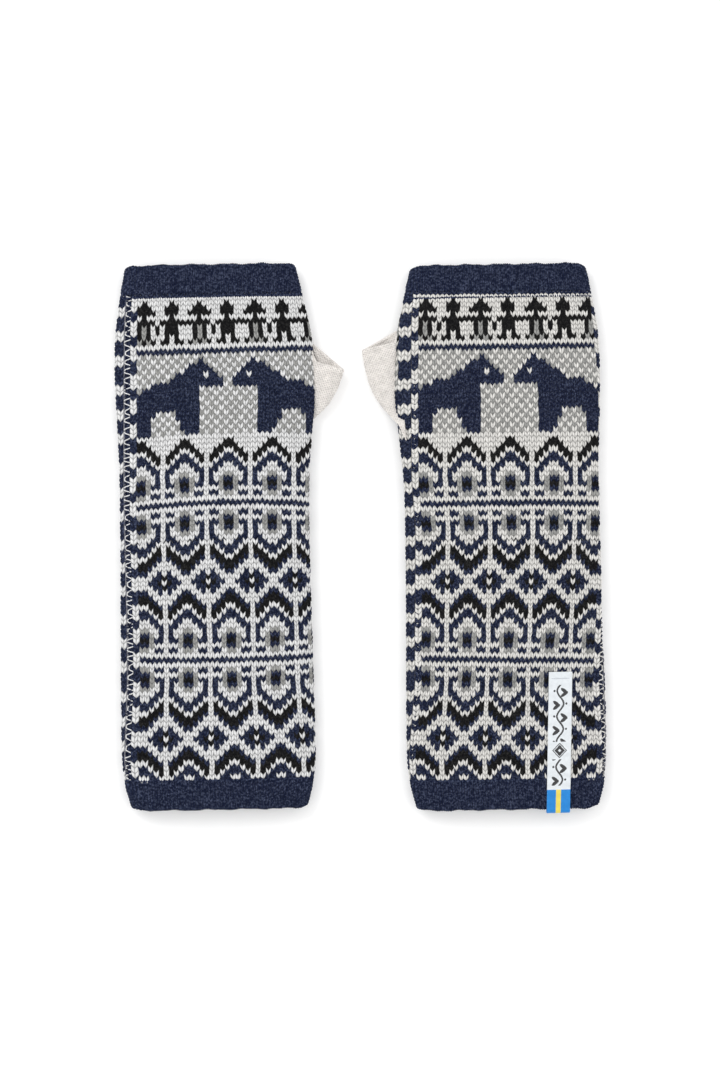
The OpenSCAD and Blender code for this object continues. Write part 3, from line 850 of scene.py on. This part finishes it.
def wovenLabel():
    total = label["length"] + math.pi * (tube["wall"] / 2 + label["lift"]) + label["fold"]
    nu, nv = int(label["width"] / label["cell"]), int(total / label["cell"])
    a, v = np.meshgrid(np.linspace(-0.5, 0.5, nu + 1) * label["width"], np.linspace(0, total, nv + 1))
    out = labelPlace(a, v, label["thick"])
    low = labelPlace(a, v, 0.0)
    index = np.arange((nu + 1) * (nv + 1)).reshape(nv + 1, nu + 1)
    base = index.size
    # going down and across in the mirrored mitten, the top faces up
    top = quads(index, True)
    rims = np.concatenate([quads(np.stack([index[0], index[0] + base]), False),
                           quads(np.stack([index[-1], index[-1] + base]), True),
                           quads(np.stack([index[:, 0], index[:, 0] + base]), True),
                           quads(np.stack([index[:, -1], index[:, -1] + base]), False)])
    al = label["width"] / 2 - (a[:-1, :-1] + a[1:, 1:]) / 2
    slots = labelPattern(al, (v[:-1, :-1] + v[1:, 1:]) / 2).reshape(-1)
    under = np.where(slots == 1, 0, slots)
    faces = np.concatenate([top, quads(index, False) + base, rims])
    uv = np.tile(np.stack([a, v], -1).reshape(-1, 2), (2, 1))
    points = np.concatenate([out.reshape(-1, 3), low.reshape(-1, 3)])
    slots = np.concatenate([slots, under, np.zeros(len(rims))])
    return makeMesh("wovenLabel", points, faces, slots, labelCloth, uv)


cloth = wovenLabel()
belongs(cloth, "right_mitten", "label_satin", "woven_label")
tack = dict(down=3.2, width=9.0, count=8, radius=0.16)
parts = []
for k in range(tack["count"]):
    a = (np.linspace(0.08, 0.92, 9) + k) / tack["count"] * tack["width"] - tack["width"] / 2
    hump = np.sin(np.linspace(0, math.pi, 9))
    path = labelPlace(a, tack["down"] + 0 * a, label["thick"] + 0.14 * hump - 0.04)
    normal = np.tile([0.0, 0.0, 1.0], (9, 1))
    points, faces, caps = yarnTube(path, normal, tack["radius"] * mm, 6)
    parts.append((points, faces, caps, 0))
tacks = joined("labelStitches", parts, [satin("tackThread", srgb(196, 200, 208), 0.6)])
belongs(tacks, "right_mitten", "sewing_thread", "label_stitches")
print("label sewn on")

bpy.context.scene.view_settings.view_transform = "Standard"
floorSize = 6.0
mesh = bpy.data.meshes.new("floor")
mesh.from_pydata([(x * floorSize, y * floorSize, -0.0002) for x, y in ((-1, -1), (1, -1), (1, 1), (-1, 1))],
                 [], [(0, 1, 2, 3)])
floor = bpy.data.objects.new("floor", mesh)
bpy.context.scene.collection.objects.link(floor)
paper = bpy.data.materials.new("paper")
paper.use_nodes = True
paper.node_tree.nodes["Principled BSDF"].inputs["Base Color"].default_value = (0.93, 0.93, 0.93, 1)
paper.node_tree.nodes["Principled BSDF"].inputs["Roughness"].default_value = 0.9
paper.node_tree.nodes["Principled BSDF"].inputs["Emission Color"].default_value = (1, 1, 1, 1)
paper.node_tree.nodes["Principled BSDF"].inputs["Emission Strength"].default_value = 0.14
mesh.materials.append(paper)

world = bpy.data.worlds.new("studio")
bpy.context.scene.world = world
world.use_nodes = True
world.node_tree.nodes["Background"].inputs["Color"].default_value = (1, 1, 1, 1)
world.node_tree.nodes["Background"].inputs["Strength"].default_value = 0.9

softboxes = [dict(at=(-0.8, 0.9, 1.1), size=0.9, watts=8), dict(at=(0.9, 0.3, 1.4), size=1.4, watts=4)]
for k, box in enumerate(softboxes):
    lamp = bpy.data.lights.new(f"softbox{k}", "AREA")
    lamp.shape = "SQUARE"
    lamp.size = box["size"]
    lamp.energy = box["watts"]
    obj = bpy.data.objects.new(f"softbox{k}", lamp)
    bpy.context.scene.collection.objects.link(obj)
    obj.location = box["at"]
    direction = -np.array(box["at"])
    obj.rotation_mode = "QUATERNION"
    obj.rotation_quaternion = Vector(direction).to_track_quat("-Z", "Y")
print("floor and lights placed")
